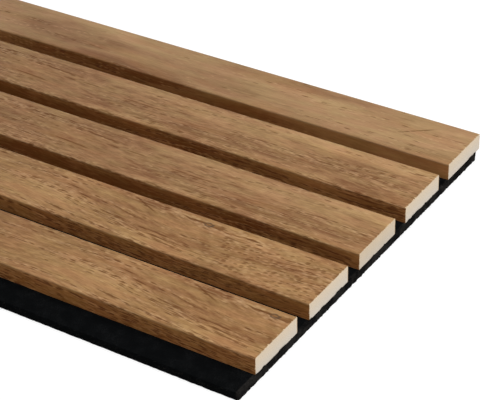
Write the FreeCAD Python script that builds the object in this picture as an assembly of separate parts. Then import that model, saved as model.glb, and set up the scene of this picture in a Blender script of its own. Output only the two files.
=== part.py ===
"""Acoustic slat wall panel: wood-wrapped fibreboard slats bonded side by side to a black felt sheet.

It lies on its back. X runs along the slats, Y across them and Z out of the wall. The origin is on the
felt's back, in the middle of the panel's length and width. Slat 1 is the one that overhangs the felt, on
the +Y side, and the bare lap of felt is on the -Y side.
"""

import os

import FreeCAD
import Part

# Driving dimensions, in millimetres
LENGTH = 2600.0
SLAT_COUNT = 5
SLAT_WIDTH = 46.0
SLAT_THICKNESS = 12.0
GROOVE_WIDTH = 14.0
CORE_ARRIS_RADIUS = 0.6
WRAP_THICKNESS = 0.4
FELT_THICKNESS = 6.0
SEAM_OVERHANG = 5.0

# Places across the panel
PITCH = SLAT_WIDTH + GROOVE_WIDTH
FELT_WIDTH = SLAT_COUNT * PITCH
PANEL_WIDTH = FELT_WIDTH + SEAM_OVERHANG
FAR_SIDE = PANEL_WIDTH / 2
FELT_FAR_SIDE = FAR_SIDE - SEAM_OVERHANG
FELT_NEAR_SIDE = FELT_FAR_SIDE - FELT_WIDTH
END = LENGTH / 2

PARTS_FOLDER = "parts"


def point(y, z):
    """A point of a section, drawn at the panel's -X end."""
    return FreeCAD.Vector(-END, y, z)


def along_panel(outline):
    """The solid of a closed section, drawn out over the whole length."""
    return Part.Face(Part.Wire(outline)).extrude(FreeCAD.Vector(LENGTH, 0, 0))


def rounded_top_bar(near, far, bottom, top, radius):
    """A bar with a flat underside and its two upper edges rounded."""
    corner = radius * (1 - 0.5**0.5)
    points = {
        "near_foot": point(near, bottom),
        "far_foot": point(far, bottom),
        "far_shoulder": point(far, top - radius),
        "far_arris": point(far - corner, top - corner),
        "far_top": point(far - radius, top),
        "near_top": point(near + radius, top),
        "near_arris": point(near + corner, top - corner),
        "near_shoulder": point(near, top - radius),
    }

    def line(start, end):
        return Part.LineSegment(points[start], points[end]).toShape()

    def arc(start, middle, end):
        return Part.Arc(points[start], points[middle], points[end]).toShape()

    return along_panel(
        [
            line("near_foot", "far_foot"),
            line("far_foot", "far_shoulder"),
            arc("far_shoulder", "far_arris", "far_top"),
            line("far_top", "near_top"),
            arc("near_top", "near_arris", "near_shoulder"),
            line("near_shoulder", "near_foot"),
        ]
    )


def slat_sides(number):
    """The near and far sides of a slat, counted from 1 at the panel's far side."""
    far = FAR_SIDE - (number - 1) * PITCH
    return far - SLAT_WIDTH, far


def slat_core(number):
    """The fibreboard strip inside the wrap. It stands on the felt."""
    near, far = slat_sides(number)
    return rounded_top_bar(
        near + WRAP_THICKNESS,
        far - WRAP_THICKNESS,
        FELT_THICKNESS,
        FELT_THICKNESS + SLAT_THICKNESS - WRAP_THICKNESS,
        CORE_ARRIS_RADIUS,
    )


def slat_wrap(number):
    """The decor skin over the top and both long sides. The underside and the sawn ends are bare."""
    near, far = slat_sides(number)
    whole = rounded_top_bar(
        near,
        far,
        FELT_THICKNESS,
        FELT_THICKNESS + SLAT_THICKNESS,
        CORE_ARRIS_RADIUS + WRAP_THICKNESS,
    )
    return whole.cut(slat_core(number))


def felt_backing():
    """The felt sheet, one whole pitch wide for each slat, shifted so that panel seams lie under a slat."""
    corner = FreeCAD.Vector(-END, FELT_NEAR_SIDE, 0)
    return Part.makeBox(LENGTH, FELT_WIDTH, FELT_THICKNESS, corner)


def pieces():
    """Each piece of the panel under its node's name."""
    made = {"felt_backing": felt_backing()}
    for number in range(1, SLAT_COUNT + 1):
        made[f"slat_{number}_core"] = slat_core(number)
        made[f"slat_{number}_wrap"] = slat_wrap(number)
    return made


os.makedirs(PARTS_FOLDER, exist_ok=True)
for name, shape in pieces().items():
    shape.exportStep(os.path.join(PARTS_FOLDER, f"{name}.step"))
    print(f"{name}: {shape.Volume / 1000:.1f} cm3")
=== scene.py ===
"""Acoustic slat wall panel: five slats in wood decor on a sheet of black felt, face up on a pale floor."""

import math

import bmesh
import bpy
from mathutils import Matrix, Vector, noise


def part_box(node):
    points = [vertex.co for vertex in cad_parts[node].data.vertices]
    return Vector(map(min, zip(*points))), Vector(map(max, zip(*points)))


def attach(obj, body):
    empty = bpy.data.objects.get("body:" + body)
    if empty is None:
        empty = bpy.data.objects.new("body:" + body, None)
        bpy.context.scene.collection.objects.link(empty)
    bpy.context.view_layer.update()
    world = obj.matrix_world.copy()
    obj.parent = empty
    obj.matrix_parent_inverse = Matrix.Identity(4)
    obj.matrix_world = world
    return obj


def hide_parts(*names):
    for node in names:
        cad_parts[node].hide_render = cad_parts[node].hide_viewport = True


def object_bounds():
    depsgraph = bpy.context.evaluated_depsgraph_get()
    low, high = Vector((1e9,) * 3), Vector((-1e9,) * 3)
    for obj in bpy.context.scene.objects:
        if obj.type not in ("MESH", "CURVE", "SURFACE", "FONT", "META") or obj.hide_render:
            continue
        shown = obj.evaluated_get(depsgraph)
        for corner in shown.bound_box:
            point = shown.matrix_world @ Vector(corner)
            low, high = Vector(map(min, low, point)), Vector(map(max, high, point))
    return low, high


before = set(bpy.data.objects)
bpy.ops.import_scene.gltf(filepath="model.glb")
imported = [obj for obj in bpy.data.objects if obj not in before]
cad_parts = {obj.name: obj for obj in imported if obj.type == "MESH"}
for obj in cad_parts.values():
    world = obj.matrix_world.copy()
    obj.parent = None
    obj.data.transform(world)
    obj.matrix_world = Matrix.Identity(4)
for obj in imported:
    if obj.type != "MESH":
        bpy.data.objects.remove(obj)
cad_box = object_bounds()


# Felt backing
# A needle-punched polyester felt 6 mm thick, dyed black. Its long sides are slit in the mill, and its ends
# are sawn together with the slats, so they are ragged and dusty. The slats are glued to its face, and it runs
# out past the last one as a lap for the next panel.
felt_low, felt_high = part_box("felt_backing")
# The rim in metres: the spacing of its points, how round and ragged it is, and how round its corners are
RIM_STEP = 0.0015
RIM_RADIUS = 0.0006
RIM_RAGGED = 0.00022
RIM_LUMPS_PER_METRE = 300.0
CORNER_RADIUS = 0.0015
CORNER_STEPS = 6
# The sawn ends: how far they stand proud, how deep dust lies, and tufts that rise where noise passes a level
SAWN_PROUD = 0.0004
SAWN_DUST_REACH = 0.0018
TUFT_RISE = 0.0017
TUFT_CLEAR = 0.0001
TUFT_LUMPS = 0.85
TUFTS_FROM = 0.12
TUFT_FLANK = 0.05
# Matted fibres and lumps by their number to the metre, how far the fibres bend, and their relief in metres
FIBRES_PER_METRE = 900.0
BENDS_PER_METRE = 260.0
FIBRE_BEND = 0.006
LUMPS_PER_METRE = 120.0
FELT_RELIEF = 0.0004
# Loose fibres: how many to the square metre, how large, how far they lean and sag, and on how flat a rim
FUZZ = {"Density": 330000.0, "Strand Length": 0.0016, "Strand Radius": 0.00006, "Seed": 7}
FUZZ_SIZES = (0.35, 1.15)
FUZZ_LEAN = 1.1
FUZZ_SAG = 0.5
FLATTEST_RIM = 0.6


def shade(red, green, blue):
    """A colour given from 0 to 255 as it looks on a screen, for a socket."""
    linear = [((c / 255 + 0.055) / 1.055) ** 2.4 if c > 10 else c / 255 / 12.92 for c in (red, green, blue)]
    return (*linear, 1.0)


class Wire:
    """A socket of a node tree. Arithmetic on it adds Math nodes, and node() adds any other node."""

    def __init__(self, tree, socket=None):
        self.tree = tree
        self.socket = socket

    @staticmethod
    def port(sockets, key):
        """A node's socket by its number, its identifier or its name."""
        named = [s for s in sockets if s.identifier == key]
        return named[0] if named else sockets[key]

    def node(self, kind, settings=None, sockets=None, output=0):
        """Adds a node: its settings first, then the values or links of its sockets."""
        made = self.tree.nodes.new(kind)
        for name, value in (settings or {}).items():
            setattr(made, name, value)
        for key, value in (sockets or {}).items():
            if isinstance(value, Wire):
                self.tree.links.new(value.socket, self.port(made.inputs, key))
            else:
                self.port(made.inputs, key).default_value = value
        return Wire(self.tree, self.port(made.outputs, output) if made.outputs else None)

    def __getitem__(self, key):
        """Another output of the same node."""
        return Wire(self.tree, self.port(self.socket.node.outputs, key))

    def math(self, operation, *values):
        """A Math node on this socket and the values."""
        return self.node("ShaderNodeMath", {"operation": operation}, dict(enumerate((self, *values))))

    def __add__(self, other):
        return self.math("ADD", other)

    __radd__ = __add__

    def __mul__(self, other):
        return self.math("MULTIPLY", other)

    __rmul__ = __mul__

    def __sub__(self, other):
        return self.math("SUBTRACT", other)

    def __rsub__(self, other):
        return self * -1 + other

    def __truediv__(self, other):
        return self.math("DIVIDE", other)

    def __gt__(self, other):
        return self.math("GREATER_THAN", other)

    def __lt__(self, other):
        return self.math("LESS_THAN", other)

    def ease(self, start, end):
        """Rises smoothly from 0 at start to 1 at end, or falls where start is the larger."""
        ends = {"From Min": min(start, end), "From Max": max(start, end)}
        levels = {"To Min": float(start > end), "To Max": float(start < end)}
        settings = {"interpolation_type": "SMOOTHSTEP"}
        return self.node("ShaderNodeMapRange", settings, {"Value": self, **ends, **levels})

    def mix(self, first, second, kind="MIX"):
        """The first colour where this socket is 0, and the second, or a blend with it, where it is 1."""
        settings = {"data_type": "RGBA", "blend_type": kind, "clamp_factor": True}
        sockets = {"Factor_Float": self, "A_Color": first, "B_Color": second}
        return self.node("ShaderNodeMix", settings, sockets, "Result_Color")

    def tinted(self, tint):
        """This colour multiplied by another."""
        settings = {"data_type": "RGBA", "blend_type": "MULTIPLY"}
        sockets = {"Factor_Float": 1.0, "A_Color": self, "B_Color": tint}
        return self.node("ShaderNodeMix", settings, sockets, "Result_Color")

    def limited(self):
        """This value kept between 0 and 1."""
        return self.math("MINIMUM", 1.0).math("MAXIMUM", 0.0)

    def noise(self, scale, detail=2.0, rough=0.5):
        """Cloudy noise from 0 to 1 over this vector."""
        sockets = {"Vector": self, "Scale": scale, "Detail": detail, "Roughness": rough}
        return self.node("ShaderNodeTexNoise", None, sockets, "Fac")

    def axes(self):
        """The three numbers of this vector."""
        parts = self.node("ShaderNodeSeparateXYZ", None, {"Vector": self})
        return parts["X"], parts["Y"], parts["Z"]

    def feed(self, sockets, name):
        """Links this socket to one of a node's own."""
        self.tree.links.new(self.socket, sockets[name])


def new_material(name, **constants):
    """A material with one Principled shader, whose even values are set on its own sockets."""
    material = bpy.data.materials.new(name)
    material.use_nodes = True
    shader = material.node_tree.nodes["Principled BSDF"]
    for socket, value in constants.items():
        shader.inputs[socket.replace("_", " ")].default_value = value
    return material, Wire(material.node_tree), shader.inputs


def bump(wire, height, strength, depth, shader):
    """Relief of that depth, in metres, from a height between 0 and 1."""
    sockets = {"Strength": strength, "Distance": depth, "Height": height}
    wire.node("ShaderNodeBump", None, sockets, "Normal").feed(shader, "Normal")


def felt_material():
    """Black felt: matted fibres over a deep black, greyer and browner at the sawn ends."""
    material, wire, shader = new_material("black_felt", Roughness=1.0, Specular_IOR_Level=0.02)
    place = wire.node("ShaderNodeTexCoord", None, None, "Object")
    sockets = {"Vector": place, "Scale": BENDS_PER_METRE, "Detail": 1.0}
    bend = wire.node("ShaderNodeTexNoise", None, sockets, "Color")
    sockets = {0: bend, 1: (FIBRE_BEND,) * 3, 2: place}
    bent = wire.node("ShaderNodeVectorMath", {"operation": "MULTIPLY_ADD"}, sockets)
    sockets = {"Vector": bent, "Scale": FIBRES_PER_METRE}
    fibres = wire.node("ShaderNodeTexVoronoi", {"feature": "DISTANCE_TO_EDGE"}, sockets).ease(0.16, 0.02)
    lumps = place.noise(LUMPS_PER_METRE, 3.0)
    colour = (fibres * lumps.ease(0.35, 0.75)).mix(shade(7, 8, 9), shade(20, 21, 22))
    half = felt_high.x
    dust = place.axes()[0].math("ABSOLUTE").ease(half - SAWN_DUST_REACH, half - 0.3 * SAWN_DUST_REACH)
    dusty = (fibres * 0.4 + lumps.ease(0.38, 0.62) * 0.6).mix(shade(8, 8, 9), shade(42, 40, 38))
    dust.mix(colour, dusty).feed(shader, "Base Color")
    bump(wire, fibres * 0.5 + lumps, 0.6, FELT_RELIEF, shader)
    return material


def rim_points(low, high):
    """Points round the sheet and its rounded corners, each with the way out of the sheet there."""
    middle = ((low + high) / 2).xy
    half = ((high - low) / 2).xy
    around = []
    for turn in (0.0, 0.5 * math.pi, math.pi, 1.5 * math.pi):
        out = Vector((round(math.cos(turn)), round(math.sin(turn))))
        along = Vector((-out.y, out.x))
        side = middle + out * abs(out.dot(half))
        run = along * (abs(along.dot(half)) - CORNER_RADIUS)
        count = round(2 * run.length / RIM_STEP)
        around += [(side + run * (2 * i / count - 1), out) for i in range(count + 1)]
        pivot = side + run - out * CORNER_RADIUS
        for i in range(1, CORNER_STEPS):
            angle = turn + math.pi / 2 * i / CORNER_STEPS
            way = Vector((math.cos(angle), math.sin(angle)))
            around.append((pivot + way * CORNER_RADIUS, way))
    return around


def rim_profile(thickness):
    """How far in and how far down each ring of the rim lies, from the face round to the back."""
    turns = [math.pi / 2 * i / 2 for i in range(3)]
    upper = [(RIM_RADIUS * (1 - math.sin(turn)), RIM_RADIUS * (1 - math.cos(turn))) for turn in turns]
    middle = [(0.0, thickness / 3), (0.0, thickness * 2 / 3)]
    return upper + middle + [(inset, thickness - drop) for inset, drop in reversed(upper)]


def clipped(share):
    """A plain number kept between 0 and 1."""
    return min(1.0, max(0.0, share))


def felt_mesh():
    """The sheet as one closed skin: a ragged, softly rounded rim between two flat faces."""
    mesh = bmesh.new()
    around = rim_points(felt_low, felt_high)
    rings = []
    thickness = felt_high.z - felt_low.z
    for inset, drop in rim_profile(thickness):
        ring = []
        height = felt_high.z - drop
        for place, out in around:
            seed = Vector((place.x, place.y, height)) * RIM_LUMPS_PER_METRE
            sawn = abs(out.x)
            ragged = RIM_RAGGED * (1 + sawn) * noise.fractal(seed, 0.7, 2.0, 3)
            past_slat = clipped(1 - inset / SAWN_PROUD) * clipped(1 - 2 * drop / thickness)
            lump = clipped((noise.noise(seed * TUFT_LUMPS) - TUFTS_FROM) / TUFT_FLANK)
            tuft = TUFT_RISE * sawn * past_slat * lump
            proud = SAWN_PROUD * sawn - inset + ragged
            edge = place + out * (max(proud, TUFT_CLEAR) if tuft > 0 else proud)
            ring.append(mesh.verts.new((edge.x, edge.y, height + tuft)))
        rings.append(ring)
    count = len(around)
    for upper, lower in zip(rings, rings[1:]):
        for i in range(count):
            after = (i + 1) % count
            mesh.faces.new((upper[i], lower[i], lower[after], upper[after]))
    mesh.faces.new(rings[0])
    mesh.faces.new(reversed(rings[-1]))
    bmesh.ops.recalc_face_normals(mesh, faces=mesh.faces)
    data = bpy.data.meshes.new("felt_sheet")
    mesh.to_mesh(data)
    mesh.free()
    return data


def fuzz_material():
    """Single black fibres, paler at their tips, no two quite alike."""
    material, wire, shader = new_material("felt_fuzz", Roughness=0.9, Specular_IOR_Level=0.1)
    strand = wire.node("ShaderNodeAttribute", {"attribute_name": "strand"}, None, "Vector")
    which, reach, _ = strand.axes()
    pale = which * 0.6 + reach * 0.4
    pale.mix(shade(10, 10, 10), shade(54, 50, 45)).feed(shader, "Base Color")
    return material


def new_tree(name, **inputs):
    """An empty tree of geometry nodes with these inputs and one mesh as its output."""
    tree = bpy.data.node_groups.new(name, "GeometryNodeTree")
    for title, kind in inputs.items():
        tree.interface.new_socket(title.replace("_", " "), in_out="INPUT", socket_type=f"NodeSocket{kind}")
    tree.interface.new_socket("Geometry", in_out="OUTPUT", socket_type="NodeSocketGeometry")
    wire = Wire(tree)
    return tree, wire, wire.node("NodeGroupInput")


def store(geometry, name, value, kind="FLOAT", domain="POINT"):
    """The geometry with a named attribute on it."""
    settings = {"data_type": kind, "domain": domain}
    sockets = {"Geometry": geometry, "Name": name, "Value": value}
    return geometry.node("GeometryNodeStoreNamedAttribute", settings, sockets)


def stored(wire, name):
    """A number that was stored on the geometry under that name."""
    return wire.node("GeometryNodeInputNamedAttribute", {"data_type": "FLOAT"}, {"Name": name})


def vector(wire, x=0.0, y=0.0, z=0.0):
    """A vector of three numbers or sockets."""
    return wire.node("ShaderNodeCombineXYZ", None, {"X": x, "Y": y, "Z": z})


def end_tree(geometry, material):
    """Makes the instances real, gives them their material and hands them out."""
    geometry = geometry.node("GeometryNodeRealizeInstances", None, {"Geometry": geometry})
    geometry = geometry.node("GeometryNodeSetMaterial", None, {"Geometry": geometry, "Material": material})
    geometry.node("NodeGroupOutput", None, {"Geometry": geometry})


def fuzz_tree(material):
    """Nodes that set bent, tapered fibres on the sheet's rim, at all angles but never through the floor."""
    kinds = {"Density": "Float", "Strand_Length": "Float", "Strand_Radius": "Float", "Seed": "Int"}
    tree, wire, given = new_tree("felt_fuzz", Sheet="Geometry", **kinds)
    length = given["Strand Length"]
    upright = wire.node("GeometryNodeInputNormal").axes()[2].math("ABSOLUTE")
    sockets = {"Mesh": given["Sheet"], "Selection": upright < FLATTEST_RIM}
    sockets |= {"Density": given["Density"], "Seed": given["Seed"]}
    points = wire.node("GeometryNodeDistributePointsOnFaces", None, sockets, "Points")

    sockets = {"Vertices": 3, "Side Segments": 2, "Radius Top": 0.0}
    sockets |= {"Radius Bottom": given["Strand Radius"], "Depth": length}
    strand = wire.node("GeometryNodeMeshCone", {"fill_type": "NONE"}, sockets)
    reach = wire.node("GeometryNodeInputPosition").axes()[2] / length
    strand = store(strand, "reach", reach)
    sag = vector(wire, reach * reach * length * FUZZ_SAG)
    strand = wire.node("GeometryNodeSetPosition", None, {"Geometry": strand, "Offset": sag})

    most = Vector((FUZZ_LEAN, FUZZ_LEAN, math.pi))
    sockets = {"Min": -most, "Max": most, "Seed": given["Seed"]}
    lean = wire.node("FunctionNodeRandomValue", {"data_type": "FLOAT_VECTOR"}, sockets)
    lean = wire.node("FunctionNodeEulerToRotation", None, {"Euler": lean})
    sockets = {"Rotation": points["Rotation"], "Rotate By": lean}
    turned = wire.node("FunctionNodeRotateRotation", {"rotation_space": "LOCAL"}, sockets)
    smallest, largest = FUZZ_SIZES
    sockets = {"Min_001": smallest, "Max_001": largest, "Seed": given["Seed"]}
    size = wire.node("FunctionNodeRandomValue", {"data_type": "FLOAT"}, sockets, "Value_001")
    sockets = {"Points": points, "Instance": strand, "Rotation": turned, "Scale": size}
    fuzz = wire.node("GeometryNodeInstanceOnPoints", None, sockets)
    sockets = {"Seed": given["Seed"]}
    which = wire.node("FunctionNodeRandomValue", {"data_type": "FLOAT"}, sockets, "Value_001")
    fuzz = store(fuzz, "which", which, domain="INSTANCE")
    fuzz = wire.node("GeometryNodeRealizeInstances", None, {"Geometry": fuzz})
    x, y, z = wire.node("GeometryNodeInputPosition").axes()
    lain = vector(wire, x, y, z.math("MAXIMUM", 0.0))
    fuzz = wire.node("GeometryNodeSetPosition", None, {"Geometry": fuzz, "Position": lain})
    strand_place = vector(wire, stored(wire, "which"), stored(wire, "reach"))
    fuzz = store(fuzz, "strand", strand_place, "FLOAT_VECTOR")
    fuzz = store(fuzz, "OFBake", strand_place, "FLOAT2", "CORNER")
    end_tree(fuzz, material)
    return tree


def add_piece(name, data):
    """A new object in the scene that rides on the panel."""
    piece = bpy.data.objects.new(name, data)
    bpy.context.scene.collection.objects.link(piece)
    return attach(piece, "root")


def piece_from_nodes(name, tree, values, base=None):
    """A piece whose plain mesh is made by geometry nodes with these values, on a base mesh if given."""
    piece = bpy.data.objects.new(name, base or bpy.data.meshes.new(name))
    bpy.context.scene.collection.objects.link(piece)
    modifier = piece.modifiers.new("make", "NODES")
    modifier.node_group = tree
    for socket in tree.interface.items_tree:
        if socket.in_out == "INPUT" and socket.name in values:
            modifier[socket.identifier] = values[socket.name]
    graph = bpy.context.evaluated_depsgraph_get()
    made = piece.evaluated_get(graph)
    data = bpy.data.meshes.new_from_object(made, preserve_all_data_layers=True, depsgraph=graph)
    bpy.data.objects.remove(piece)
    data.name = name
    return add_piece(name, data)


felt_sheet = add_piece("felt_sheet", felt_mesh())
felt_sheet.data.materials.append(felt_material())
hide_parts("felt_backing")
felt_fuzz = piece_from_nodes("felt_fuzz", fuzz_tree(fuzz_material()), FUZZ, felt_sheet.data)


# Slat cores
# Strips of pale medium-density fibreboard, planed to a small radius along their upper edges and glued to the
# felt over their whole width. They show only at the sawn ends, where the pressed fibre is bare.
SLAT_COUNT = 5
CORE_RADIUS = 0.0006
EDGE_STEPS = 6
# How much of a core's flat map each sawn end takes up
ENDS_SHARE = 0.48
# Fibres and specks by their number to the metre, how flat they are pressed, and their relief in metres
BOARD_FIBRES_PER_METRE = 1500.0
SPECKS_PER_METRE = 900.0
PRESSED_FLAT = 2.6
BOARD_RELIEF = 0.0002
# How deep the look of the sawn ends reaches. The planed faces under the wrap are plain
SAWN_SKIN = 0.001
# One board is duller than the others
DULL_CORE = "slat_3_core"
DULL_TINT = (0.92, 0.9, 0.87, 1.0)


def board_material():
    """Raw fibreboard: fine pressed fibre, a little warmer under the face and greyer towards the felt."""
    material, wire, shader = new_material("pressed_board", Roughness=0.9, Specular_IOR_Level=0.2)
    place = wire.node("ShaderNodeTexCoord", None, None, "Object")
    along, across, up = place.axes()
    low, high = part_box("slat_1_core")
    colour = up.ease(low.z, high.z).mix(shade(223, 215, 206), shade(241, 217, 184))
    layered = wire.node("ShaderNodeMapping", None, {"Vector": place, "Scale": (1.0, 1.0, PRESSED_FLAT)})
    fibre = layered.noise(BOARD_FIBRES_PER_METRE, 3.0, 0.65)
    colour = fibre.ease(0.35, 0.7).mix(shade(208, 194, 174), colour)
    specks = layered.noise(SPECKS_PER_METRE, 1.0).ease(0.7, 0.8)
    colour = (specks * 0.5).mix(colour, shade(156, 132, 104))
    low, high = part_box(DULL_CORE)
    off_middle = (across - (low.y + high.y) / 2).math("ABSOLUTE") / (high.y - low.y)
    colour = off_middle.ease(0.6, 0.5).mix(colour, DULL_TINT, "MULTIPLY")
    sawn = along.math("ABSOLUTE").ease(high.x - SAWN_SKIN, high.x - SAWN_SKIN / 2)
    sawn.mix(shade(222, 208, 188), colour).feed(shader, "Base Color")
    bump(wire, fibre, 0.4, BOARD_RELIEF, shader)
    return material


def rounded_top(step, width, height, radius):
    """A slat's section point by point, from its far foot over its flat top to its near foot.

    Gives how far each point lies from the far side, how high, and how far along the section.
    """
    far_turn = ((step - 1) / EDGE_STEPS).limited() * (math.pi / 2)
    near_turn = ((step - (EDGE_STEPS + 2)) / EDGE_STEPS).limited() * (math.pi / 2)
    up = step > 0.5
    over = step > EDGE_STEPS + 1.5
    down = step > 2 * EDGE_STEPS + 2.5
    wall = height - radius
    flat = over * (width - radius * 2)
    near = radius * (1 - far_turn.math("COSINE")) + flat + radius * near_turn.math("SINE")
    rise = wall * (up - down) + radius * (far_turn.math("SINE") - 1 + near_turn.math("COSINE"))
    girth = wall * (up + down) + flat + radius * (far_turn + near_turn)
    return near, rise, girth


def drawn_out(wire, given, count, near, rise, rows, **marks):
    """A closed section of so many points drawn out along the slat, with marks kept from its points."""
    points = wire.node("GeometryNodeMeshLine", None, {"Count": count})
    corner = vector(wire, near, rise * -1)
    points = wire.node("GeometryNodeSetPosition", None, {"Geometry": points, "Position": corner})
    for name, value in marks.items():
        points = store(points, name, value)
    section = wire.node("GeometryNodeMeshToCurve", None, {"Mesh": points})
    section = wire.node("GeometryNodeSetSplineCyclic", None, {"Geometry": section, "Cyclic": True})
    half = given["Length"] / 2
    ends = {"Start": vector(wire, half * -1, given["Far Side"], given["Foot"])}
    ends["End"] = vector(wire, half, given["Far Side"], given["Foot"])
    rail = wire.node("GeometryNodeCurvePrimitiveLine", None, ends)
    rail = wire.node("GeometryNodeResampleCurve", None, {"Curve": rail, "Count": rows + 1})
    sockets = {"Curve": rail, "Profile Curve": section, "Fill Caps": True}
    bar = wire.node("GeometryNodeCurveToMesh", None, sockets)
    return wire.node("GeometryNodeSetShadeSmooth", None, {"Geometry": bar, "Shade Smooth": False})


def on_face(wire, value):
    """The value's mean over each face."""
    settings = {"data_type": "FLOAT", "domain": "FACE"}
    return wire.node("GeometryNodeFieldOnDomain", settings, {"Value": value})


SLAT_SIZES = ("Length", "Width", "Height", "Radius", "Far_Side", "Foot")


def core_tree(material):
    """Nodes that make one core. Its two sawn ends take up nearly the whole of its flat map."""
    tree, wire, given = new_tree("slat_core", **dict.fromkeys(SLAT_SIZES, "Float"))
    step = wire.node("GeometryNodeInputIndex")
    near, rise, _ = rounded_top(step, given["Width"], given["Height"], given["Radius"])
    core = drawn_out(wire, given, 2 * EDGE_STEPS + 4, near, rise, 1)
    x, y, z = wire.node("GeometryNodeInputPosition").axes()
    along = x / given["Length"] + 0.5
    side = on_face(wire, along)
    at_end = (side - 0.5).math("ABSOLUTE") > 0.49
    end_across = (given["Far Side"] - y) / given["Width"]
    end_up = ((z - given["Foot"]) / given["Height"] + (side > 0.5)) * ENDS_SHARE
    hidden_up = 2 * ENDS_SHARE + (1 - 2 * ENDS_SHARE) * (0.2 + 0.6 * end_across)
    flat_across = at_end * end_across + (1 - at_end) * along
    flat_up = at_end * end_up + (1 - at_end) * hidden_up
    core = store(core, "OFBake", vector(wire, flat_across, flat_up), "FLOAT2", "CORNER")
    end_tree(core, material)
    return tree


def slat_sizes(node, radius):
    """A core's or a wrap's sizes, from its box."""
    low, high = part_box(node)
    size = high - low
    sizes = {"Length": size.x, "Width": size.y, "Height": size.z}
    return sizes | {"Radius": radius, "Far Side": high.y, "Foot": low.z}


core_nodes = core_tree(board_material())
for number in range(1, SLAT_COUNT + 1):
    sizes = slat_sizes(f"slat_{number}_core", CORE_RADIUS)
    core = piece_from_nodes(f"fibreboard_core_{number}", core_nodes, sizes)
    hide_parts(f"slat_{number}_core")


# Decor wraps
# A printed and embossed wood-grain skin 0.4 mm thick, folded hot over the top and both sides of each core.
# The grain runs along the slat and round the rounded edges, and the sawn ends show the skin as a thin line.
wrap_low, wrap_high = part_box("slat_1_wrap")
SKIN = wrap_high.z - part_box("slat_1_core")[1].z
EDGE_RADIUS = CORE_RADIUS + SKIN
# A wrap's flat map holds its length in so many rows
MAP_ROWS = 4
# The print is laid out in millimetres: how often it repeats along, and how far apart its strips lie across
MILLIMETRES = 1000.0
PRINT_REPEAT = 870.0
STRIP_STEP = 200.0
SLAT_TOP = (wrap_high.y - wrap_low.y) * MILLIMETRES
# For each slat: where along the print its strip starts, and how far across the print it lies
STRIPS = {1: (0.0, 0.0), 2: (0.0, 200.0), 3: (82.0, 200.0), 4: (0.0, 400.0), 5: (86.0, 400.0)}
# Knots by their place along and across the print, with how far each pushes the grain aside
KNOTS = {(97.5, 406.0): 26.0, (520.0, 441.0): 24.0, (610.0, 232.0): 22.0, (700.0, 12.0): 25.0}
# How long a knot is drawn, how soft its swirl is, and the radius of its dark eye
KNOT_STRETCH = 1.9
KNOT_SOFT = 1.3
KNOT_EYE = 2.2
# Long clouds, most where the cut grazes a growth ring and some painted shade and light: place, half length,
# half width, and how much paler or darker
CLOUD_REPEAT = PRINT_REPEAT / 2
CLOUDS = [
    # Slat 1
    (60.0, 24.0, 75.0, 26.0, 0.08),
    (10.0, 12.0, 40.0, 18.0, 0.12),
    (265.0, 5.0, 75.0, 12.0, 0.17),
    (262.0, 44.0, 60.0, 10.0, -0.26),
    (182.0, 34.0, 30.0, 8.0, -0.15),
    (130.0, 19.0, 60.0, 9.0, 0.12),
    (112.0, 2.0, 45.0, 6.0, -0.15),
    (20.0, 44.0, 50.0, 7.0, -0.13),
    (325.0, 22.0, 55.0, 16.0, -0.2),
    (290.0, 24.0, 110.0, 30.0, -0.06),
    (320.0, 10.0, 50.0, 16.0, 0.14),
    (325.0, 42.0, 55.0, 8.0, -0.1),
    # Painted light and shade on slat 1's near side: paler by the groove's open end, darker further along the
    # groove
    (20.0, 52.0, 45.0, 9.0, 0.15),
    (250.0, 52.0, 150.0, 9.0, -0.3),
    # Slats 2 and 3
    (20.0, 205.0, 30.0, 9.0, 0.24),
    (26.0, 241.0, 35.0, 8.0, -0.2),
    (53.0, 220.0, 32.0, 8.0, -0.18),
    (88.0, 203.0, 45.0, 9.0, 0.28),
    (66.0, 211.0, 32.0, 6.0, 0.12),
    (112.0, 218.0, 14.0, 6.0, 0.12),
    (80.0, 234.0, 36.0, 8.0, -0.12),
    (145.0, 233.0, 50.0, 9.0, -0.2),
    (150.0, 212.0, 48.0, 10.0, 0.18),
    (215.0, 233.0, 60.0, 9.0, -0.15),
    (225.0, 206.0, 45.0, 8.0, 0.12),
    (236.0, 224.0, 28.0, 6.0, -0.06),
    (200.0, 245.0, 240.0, 6.0, 0.07),
    (310.0, 223.0, 110.0, 30.0, -0.07),
    (170.0, 222.0, 45.0, 24.0, -0.04),
    (380.0, 223.0, 50.0, 26.0, -0.08),
    # Painted shade: the near sides of slats 2 and 3, darker along the groove
    (280.0, 252.0, 200.0, 9.0, -0.3),
    # Slats 4 and 5
    (44.0, 406.0, 35.0, 8.0, 0.12),
    (122.0, 403.0, 30.0, 6.0, -0.17),
    (50.0, 420.0, 30.0, 6.0, -0.08),
    (38.0, 437.0, 44.0, 8.0, 0.15),
    (98.0, 430.0, 45.0, 6.0, -0.1),
    (112.0, 439.0, 36.0, 9.0, 0.24),
    (225.0, 443.0, 40.0, 6.0, 0.12),
    (149.0, 402.0, 30.0, 6.0, -0.2),
    (150.0, 428.0, 35.0, 7.0, -0.1),
    (172.0, 416.0, 30.0, 6.0, -0.1),
    (215.0, 428.0, 50.0, 14.0, 0.14),
    (246.0, 402.0, 35.0, 7.0, -0.1),
    (315.0, 412.0, 45.0, 20.0, -0.1),
]
# A patch of short pits: place, half length and half width
PITTED = (32.0, 426.0, 62.0, 24.0)
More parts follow.
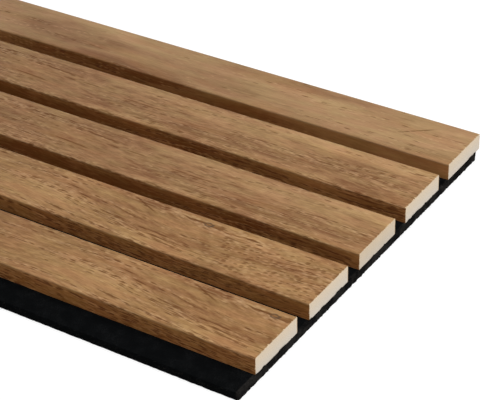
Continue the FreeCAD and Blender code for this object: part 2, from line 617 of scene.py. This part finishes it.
# Single dark strokes: where each starts and ends on the print
STROKES = [
    ((53.0, 29.0), (25.0, 8.0)),
    ((158.0, 402.0), (131.0, 413.0)),
    ((168.0, 417.0), (134.0, 424.0)),
    ((158.0, 429.0), (82.0, 432.0)),
    ((150.0, 433.0), (88.0, 435.0)),
    ((48.0, 421.0), (6.0, 412.0)),
    ((140.0, 437.0), (95.0, 438.0)),
    ((93.0, 406.5), (86.0, 408.0)),
    ((243.0, 223.0), (196.0, 224.0)),
    ((330.0, 212.0), (268.0, 215.0)),
    ((300.0, 220.0), (255.0, 219.0)),
    ((345.0, 228.0), (290.0, 231.0)),
    ((60.0, 249.0), (-8.0, 250.0)),
    ((66.0, 253.5), (2.0, 254.0)),
    ((142.0, 250.0), (76.0, 251.0)),
    ((208.0, 412.0), (182.0, 415.0)),
    ((195.0, 417.0), (166.0, 422.0)),
    ((172.0, 426.0), (156.0, 428.0)),
]
STROKE_WIDTH = 1.0
# The saw has chipped the skin at its ends: how many chips to the metre and how deep, in metres
CHIPS_PER_METRE = 700.0
CHIP_DEPTH = 0.0012
PRINT_RELIEF = 0.0004
# Painted shade: the slats' sides are darkened and reddened against the top, for the shade and warm bounce
# light in the grooves
PAINTED_FLANK_SHADE = (0.93, 0.72, 0.52, 1.0)


def decor_material():
    """Printed oak: bands, streaks and short fibres along the grain, dark pores, pale flecks and knots."""
    material, wire, shader = new_material("printed_oak", Specular_IOR_Level=0.2)
    decor = wire.node("ShaderNodeAttribute", {"attribute_name": "decor"}, None, "Vector")
    along, across, _ = decor.axes()

    def beside(along_at, across_at, repeat=PRINT_REPEAT):
        """How far along and across the nearest copy of a place on the print lies."""
        return (along - along_at).math("WRAP", repeat / 2, -repeat / 2), across - across_at

    def oval(along_at, across_at, half_length, half_width):
        """1 in the middle of an oval patch of the print, and 0 past its edge."""
        ahead, aside = beside(along_at, across_at, CLOUD_REPEAT)
        ahead, aside = ahead / half_length, aside / half_width
        return (ahead * ahead + aside * aside).ease(1.2, 0.3)

    def cloudy(length, width, layer, flow=across, detail=1.0, rough=0.5):
        """Soft noise with patches of about that length and width, in millimetres."""
        return vector(wire, along / length, flow / width, layer).noise(1.0, detail, rough)

    flow = across + (cloudy(150, 42, 1.3) - 0.5) * 10
    eyes, near_knot = 0.0, 0.0
    for place, reach in KNOTS.items():
        ahead, aside = beside(*place)
        ahead = ahead / KNOT_STRETCH
        spread = ahead * ahead + aside * aside
        flow = flow - aside * reach**2 / (spread + (KNOT_SOFT * reach) ** 2)
        ring = spread * (cloudy(4, 2.5, 1.9) + 0.5) / KNOT_EYE**2
        eyes = ring.ease(1.5, 0.5) * ring.ease(0.0, 0.5) * cloudy(3, 2, 2.7).ease(0.35, 0.6) + eyes
        near_knot = spread.ease((0.8 * reach) ** 2, (0.3 * reach) ** 2) + near_knot

    def dashes(length, width, layer, size, share):
        """Short marks along the grain, in that share of the cells."""
        spot = vector(wire, along / length, (flow + layer * 37) / width)
        settings = {"voronoi_dimensions": "2D"}
        cell = wire.node("ShaderNodeTexVoronoi", settings, {"Vector": spot, "Scale": 1.0})
        chance = wire.node("ShaderNodeSeparateColor", None, {"Color": cell["Color"]})["Red"]
        return cell["Distance"].ease(size, size * 0.4) * (share - chance).ease(0.0, 0.15)

    lively = 0.4 + across.ease(0, 230) * 0.52 + across.ease(230, 440) * 0.13
    bands = cloudy(130, 7, 3.1, flow, 2.0)
    grain = cloudy(9, 1.6, 5.3, flow, 2.0, 0.7)
    patches = cloudy(40, 14, 6.1)
    rows = cloudy(200, 4.2, 4.9, flow)
    busy = cloudy(80, 26, 7.7)
    warmth = cloudy(60, 12, 8.3, flow)
    blush = cloudy(30, 9, 9.1)
    fibres = cloudy(20, 1.5, 2.2, flow, 2.0, 0.6)
    streaks = fibres.ease(0.56, 0.7)
    # Painted highlight: a pale rim along each streak, standing in for the lit lips of the embossed streaks
    painted_lip_highlights = fibres.ease(0.44, 0.53) * fibres.ease(0.61, 0.55)

    clouds = across.ease(110, 70) * 0.09
    for *patch, change in CLOUDS:
        clouds = clouds + oval(*patch) * change
    level = 0.45 + clouds + (bands - 0.5) * 0.55 + (grain - 0.5) * lively * 1.1 + (patches - 0.5) * 0.3
    pale = across.ease(0, 440).mix(shade(178, 143, 101), shade(175, 135, 88))
    colour = level.math("MAXIMUM", 0.12).mix(shade(94, 51, 8), pale)
    colour = (warmth.ease(0.5, 0.75) * 0.25).mix(colour, shade(150, 102, 58))
    colour = colour.tinted(blush.ease(0.3, 0.7).mix((0.97, 1.02, 0.97, 1.0), (1.03, 0.98, 1.01, 1.0)))
    strip = across.math("WRAP", 0.75 * STRIP_STEP, -0.25 * STRIP_STEP)
    flank = strip.ease(SLAT_TOP - 0.5, SLAT_TOP + 1.5) + strip.ease(0.5, -1.5)
    crowd = rows.ease(0.4, 0.62) * busy.ease(0.3, 0.6) * lively * (1 + flank * 0.2)
    pores = dashes(8, 1.05, 1.0, 0.5, crowd * (1 - near_knot) * 0.6 + across.ease(46, 200) * 0.03)
    streaky = crowd * 0.9 + lively * 0.3
    marks = pores.math("MAXIMUM", streaks * streaky)
    relief = grain - marks
    pitted = oval(*PITTED)
    pits = dashes(4.2, 1.25, 5.0, 0.55, pitted * 0.45)
    marks = marks.math("MAXIMUM", pits * 0.8)
    strokes = 0.0
    for begin, finish in STROKES:
        ahead, aside = beside(*begin)
        run = Vector(finish) - Vector(begin)
        step = run.normalized()
        reached = (ahead * step.x + aside * step.y) / run.length
        off = (aside * step.x - ahead * step.y).math("ABSOLUTE")
        body = reached.ease(0.0, 0.3) * reached.ease(1.0, 0.7) * off.ease(STROKE_WIDTH, 0.2)
        strokes = body.math("MAXIMUM", strokes)
    marks = marks.math("MAXIMUM", strokes * (grain.ease(0.68, 0.42) * 0.7 + 0.3))
    colour = (marks * 0.68).mix(colour, shade(82, 42, 3))
    # The print's pale flecks, and the painted highlight on the streaks' lips
    pale_fleck_and_lip_highlight = shade(204, 168, 126)
    colour = (painted_lip_highlights * streaky * (1 - marks) * 0.2).mix(colour, pale_fleck_and_lip_highlight)
    flecks = dashes(5, 1.2, 3.0, 0.5, crowd * 0.7 + pitted * 0.35 + 0.04) * (1 - marks)
    colour = (flecks * 0.24).mix(colour, pale_fleck_and_lip_highlight)
    colour = (eyes * 0.9).mix(colour, shade(74, 52, 32))
    # Painted shade: the sides darkened and reddened by the flank tint
    colour = flank.mix(colour, PAINTED_FLANK_SHADE, "MULTIPLY")
    place = wire.node("ShaderNodeTexCoord", None, None, "Object")
    torn = place.noise(CHIPS_PER_METRE, 2.0, 0.7).ease(0.5, 0.8) * CHIP_DEPTH
    chipped = (place.axes()[0].math("ABSOLUTE") + torn - wrap_high.x).ease(-0.0001, 0.0001)
    chipped.mix(colour, shade(214, 188, 150)).feed(shader, "Base Color")
    (0.5 + marks * 0.25).feed(shader, "Roughness")
    bump(wire, relief, 0.4, PRINT_RELIEF, shader)
    return material


def wrap_tree(material):
    """Nodes that fold a skin over a slat, with its place on the print, and a flat map of it in rows."""
    kinds = dict.fromkeys((*SLAT_SIZES, "Skin", "Print_Start", "Print_Strip"), "Float")
    tree, wire, given = new_tree("decor_wrap", **kinds)
    width, height, radius = given["Width"], given["Height"], given["Radius"]
    last = 2 * EDGE_STEPS + 3
    index = wire.node("GeometryNodeInputIndex")
    inner = index > last + 0.5
    inset = inner * given["Skin"]
    step = index + inner * (2 * last + 1 - 2 * index)
    near, rise, girth = rounded_top(step, width - inset * 2, height - inset, radius - inset)
    skin = drawn_out(wire, given, 2 * last + 2, near + inset, rise, MAP_ROWS, girth=girth, inner=inner)

    x = wire.node("GeometryNodeInputPosition").axes()[0]
    from_end = given["Length"] / 2 - x
    girth = stored(wire, "girth")
    printed = from_end * MILLIMETRES + given["Print Start"]
    strip = (girth - height) * MILLIMETRES + given["Print Strip"]
    skin = store(skin, "decor", vector(wire, printed, strip), "FLOAT_VECTOR")

    rows_along = from_end / given["Length"] * MAP_ROWS
    row = ((on_face(wire, rows_along) / MAP_ROWS - 0.001).limited() * MAP_ROWS).math("FLOOR")
    inside = on_face(wire, stored(wire, "inner")) > 0.1
    # The outer face takes up most of each row, and the inner face a thin strip at its edge
    whole = height * 2 + width
    up = (1 - inside) * (0.01 + 0.94 * (girth / whole)) + inside * (0.96 + 0.03 * (girth / whole))
    flat = vector(wire, rows_along - row - stored(wire, "inner") * 0.004, (row + up) / MAP_ROWS)
    skin = store(skin, "OFBake", flat, "FLOAT2", "CORNER")
    end_tree(skin, material)
    return tree


wrap_nodes = wrap_tree(decor_material())
for number in range(1, SLAT_COUNT + 1):
    start, strip = STRIPS[number]
    sizes = slat_sizes(f"slat_{number}_wrap", EDGE_RADIUS)
    sizes |= {"Skin": SKIN, "Print Start": start, "Print Strip": strip}
    wrap = piece_from_nodes(f"decor_wrap_{number}", wrap_nodes, sizes)
    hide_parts(f"slat_{number}_wrap")


# Floor, light and camera
# A pale floor that the camera sees as white, with the panel's faint shadow on it. A softbox stands past each
# end of the panel, a fill comes from the front left, and the camera looks down on the right-hand end.
FLOOR_SIZE = 30.0
FLOOR_DROP = 0.0002
FLOOR_GREY = 0.25
FLOOR_GLOW = 0.8
AMBIENT = 0.25
# The fill light: the way that it comes from, its strength, and how wide it is in degrees
FILL_FROM = (-0.35, -0.55, 0.76)
FILL_ENERGY = 1.15
FILL_WIDTH = 20.0
# The softboxes: how far each stands past the panel's end and above the floor, its lean, size and strength
SOFTBOX_GAP = 1.0
SOFTBOX_HEIGHT = 1.0
SOFTBOX_LEAN = 1.2
SOFTBOX_SIZE = 0.9
SOFTBOX_ENERGY = 20.5
# The camera as fitted to the photo: its target, in from the panel's end and far side, its distance in metres,
# its angles in degrees, and its focal length in pixels
TARGET_FROM_END = 0.090244
TARGET_FROM_FAR_SIDE = 0.149143
CAMERA_DISTANCE = 1.149049
CAMERA_AZIMUTH = 33.110
CAMERA_ELEVATION = 33.223
CAMERA_ROLL = -1.336
FOCAL_PIXELS = 1785.891
PICTURE_WIDTH = 500


def seen_directly(wire):
    """1 for what the camera sees, by itself, in a reflection or through glass, and 0 for other light."""
    paths = wire.node("ShaderNodeLightPath")
    seen = paths["Is Camera Ray"]
    for kind in ("Is Glossy Ray", "Is Transmission Ray"):
        seen = seen.math("MAXIMUM", paths[kind])
    return seen


def floor_material():
    """Pale floor: it glows a little where it is seen, so that it shows white wherever nothing shades it."""
    material = bpy.data.materials.new("pale_floor")
    material.use_nodes = True
    material.node_tree.nodes.clear()
    wire = Wire(material.node_tree)
    matt = wire.node("ShaderNodeBsdfDiffuse", None, {"Color": (FLOOR_GREY, FLOOR_GREY, FLOOR_GREY, 1.0)})
    glow = wire.node("ShaderNodeEmission", None, {"Strength": seen_directly(wire) * FLOOR_GLOW})
    both = wire.node("ShaderNodeAddShader", None, {0: matt, 1: glow})
    wire.node("ShaderNodeOutputMaterial", None, {"Surface": both})
    return material


def add_floor():
    """A square floor just under the panel."""
    half = FLOOR_SIZE / 2
    corners = [(x * half, y * half, -FLOOR_DROP) for x, y in ((-1, -1), (1, -1), (1, 1), (-1, 1))]
    data = bpy.data.meshes.new("floor")
    data.from_pydata(corners, [], [(0, 1, 2, 3)])
    data.materials.append(floor_material())
    floor = bpy.data.objects.new("floor", data)
    bpy.context.scene.collection.objects.link(floor)


def add_lamp(name, kind, source, place=(0.0, 0.0, 0.0), **settings):
    """A lamp at a place, whose light comes from the side that source points to."""
    lamp = bpy.data.lights.new(name, kind)
    for setting, value in settings.items():
        setattr(lamp, setting, value)
    light = bpy.data.objects.new(name, lamp)
    light.location = place
    light.rotation_mode = "QUATERNION"
    light.rotation_quaternion = Vector(source).to_track_quat("Z", "Y")
    bpy.context.scene.collection.objects.link(light)


def add_world():
    """White where it is seen, and a soft even light on the panel."""
    world = bpy.data.worlds.new("studio")
    world.use_nodes = True
    background = world.node_tree.nodes["Background"]
    background.inputs["Color"].default_value = (1.0, 1.0, 1.0, 1.0)
    strength = AMBIENT + seen_directly(Wire(world.node_tree)) * (1 - AMBIENT)
    strength.feed(background.inputs, "Strength")
    bpy.context.scene.world = world


def add_camera():
    """The photo's camera, which looks at a place on the slats' tops."""
    high = cad_box[1]
    target = Vector((high.x - TARGET_FROM_END, high.y - TARGET_FROM_FAR_SIDE, high.z))
    azimuth = math.radians(CAMERA_AZIMUTH)
    elevation = math.radians(CAMERA_ELEVATION)
    roll = math.radians(CAMERA_ROLL)
    flat = math.cos(elevation)
    back = Vector((math.sin(azimuth) * flat, -math.cos(azimuth) * flat, math.sin(elevation)))
    side = Vector((math.cos(azimuth), math.sin(azimuth), 0.0))
    right = math.cos(roll) * side + math.sin(roll) * back.cross(side)
    turn = Matrix((right, back.cross(right), back)).transposed().to_4x4()
    lens = bpy.data.cameras.new("camera")
    lens.sensor_width = 36.0
    lens.lens = FOCAL_PIXELS / PICTURE_WIDTH * lens.sensor_width
    lens.clip_start = 0.01
    camera = bpy.data.objects.new("camera", lens)
    camera.matrix_world = Matrix.Translation(target + back * CAMERA_DISTANCE) @ turn
    bpy.context.scene.collection.objects.link(camera)
    bpy.context.scene.camera = camera


add_floor()
panel_end = cad_box[1].x
add_lamp("fill", "SUN", FILL_FROM, energy=FILL_ENERGY, angle=math.radians(FILL_WIDTH))
for name, way in (("right_softbox", 1), ("left_softbox", -1)):
    place = (way * (panel_end + SOFTBOX_GAP), 0.0, SOFTBOX_HEIGHT)
    source = (way * SOFTBOX_LEAN, 0.0, 1.0)
    add_lamp(name, "AREA", source, place, energy=SOFTBOX_ENERGY, shape="SQUARE", size=SOFTBOX_SIZE)
add_world()
add_camera()
bpy.context.scene.view_settings.view_transform = "Standard"
